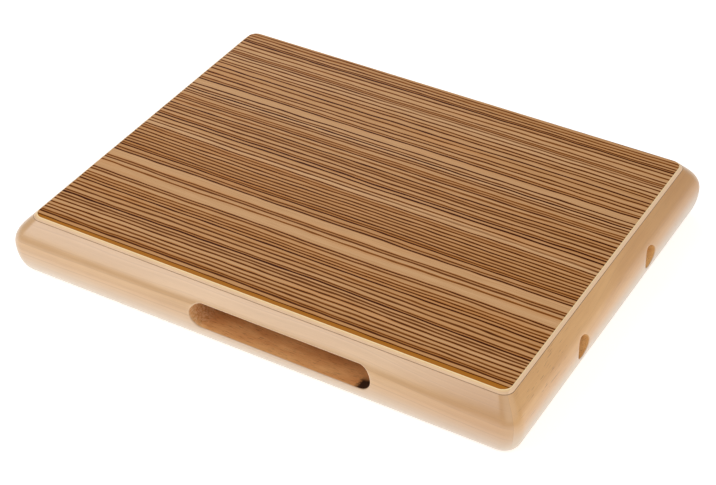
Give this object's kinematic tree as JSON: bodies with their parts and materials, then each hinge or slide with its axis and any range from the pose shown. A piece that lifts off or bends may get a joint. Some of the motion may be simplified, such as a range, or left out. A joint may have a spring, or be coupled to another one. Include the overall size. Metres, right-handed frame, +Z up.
{
  "type": "flat cajon",
  "caption": "Slim box drum lying on its back: striped wooden playing plate on a rounded light wood frame, a hand slot in one long side and tension ports in one end.",
  "frame": {"origin": "middle of the back, on the surface that the drum lies on", "axes": "+Z up through the playing plate, +X along the stripes to the end with the tension ports, the long side with the hand slot faces -Y"},
  "size_m": [0.45, 0.355, 0.05],
  "materials": {
    "striped_veneer": "satin lacquer over a striped veneer",
    "light_ply": "satin lacquer over the cut edge of light plywood",
    "dark_veneer": "raw inside, lacquered at the edge",
    "frame_wood": "clear satin lacquer over light close-grained wood",
    "inner_hardwood": "planed, not lacquered",
    "back_plywood": "clear satin lacquer over birch plywood",
    "zinc_steel": "bright zinc plating",
    "steel_plate": "brushed",
    "dark_steel": "black oxide",
    "music_wire": "plain wire",
    "felt": "dense felt"
  },
  "bodies": {
    "case": {"tapa_face_veneer": "striped_veneer", "tapa_core": "light_ply", "tapa_back_veneer": "dark_veneer", "front_rail": "frame_wood", "rear_rail": "frame_wood", "left_rail": "frame_wood", "right_rail": "frame_wood", "corner_spline_front_left": "inner_hardwood", "corner_spline_front_right": "inner_hardwood", "corner_spline_rear_left": "inner_hardwood", "corner_spline_rear_right": "inner_hardwood", "back_panel": "back_plywood", "back_panel_screw_1": "zinc_steel", "back_panel_screw_2": "zinc_steel", "back_panel_screw_3": "zinc_steel", "back_panel_screw_4": "zinc_steel", "back_panel_screw_5": "zinc_steel", "back_panel_screw_6": "zinc_steel", "back_panel_screw_7": "zinc_steel", "back_panel_screw_8": "zinc_steel", "back_panel_screw_9": "zinc_steel", "back_panel_screw_10": "zinc_steel", "back_panel_screw_11": "zinc_steel", "back_panel_screw_12": "zinc_steel", "string_anchor_block": "inner_hardwood", "anchor_plate_front": "steel_plate", "anchor_screw_front_1": "zinc_steel", "anchor_screw_front_2": "zinc_steel", "tension_washer_front": "zinc_steel", "anchor_plate_rear": "steel_plate", "anchor_screw_rear_1": "zinc_steel", "anchor_screw_rear_2": "zinc_steel", "tension_washer_rear": "zinc_steel"},
    "front_tension_screw": {"tension_screw_front": "dark_steel"},
    "front_string_carrier": {"string_carrier_front": "steel_plate", "carrier_nut_front": "zinc_steel", "carrier_felt_front": "felt", "snare_string_front_1": "music_wire", "snare_string_front_2": "music_wire"},
    "rear_tension_screw": {"tension_screw_rear": "dark_steel"},
    "rear_string_carrier": {"string_carrier_rear": "steel_plate", "carrier_nut_rear": "zinc_steel", "carrier_felt_rear": "felt", "snare_string_rear_1": "music_wire", "snare_string_rear_2": "music_wire"}
  },
  "joints": [
    {"name": "front_tension_turn", "type": "hinge", "parent": "case", "child": "front_tension_screw", "pos_m": [0.2026, -0.063, 0.025], "axis": [-1, 0, 0], "range_deg": [-360, 1080]},
    {"name": "front_carrier_slide", "type": "slide", "parent": "case", "child": "front_string_carrier", "axis": [1, 0, 0], "range_m": [-0.001, 0.003]},
    {"name": "rear_tension_turn", "type": "hinge", "parent": "case", "child": "rear_tension_screw", "pos_m": [0.2026, 0.063, 0.025], "axis": [-1, 0, 0], "range_deg": [-360, 1080]},
    {"name": "rear_carrier_slide", "type": "slide", "parent": "case", "child": "rear_string_carrier", "axis": [1, 0, 0], "range_m": [-0.001, 0.003]}
  ],
  "couplings": [
    {"joint": "front_tension_turn", "follows": "front_carrier_slide", "rad_per_m": 6283.2},
    {"joint": "rear_tension_turn", "follows": "rear_carrier_slide", "rad_per_m": 6283.2}
  ]
}
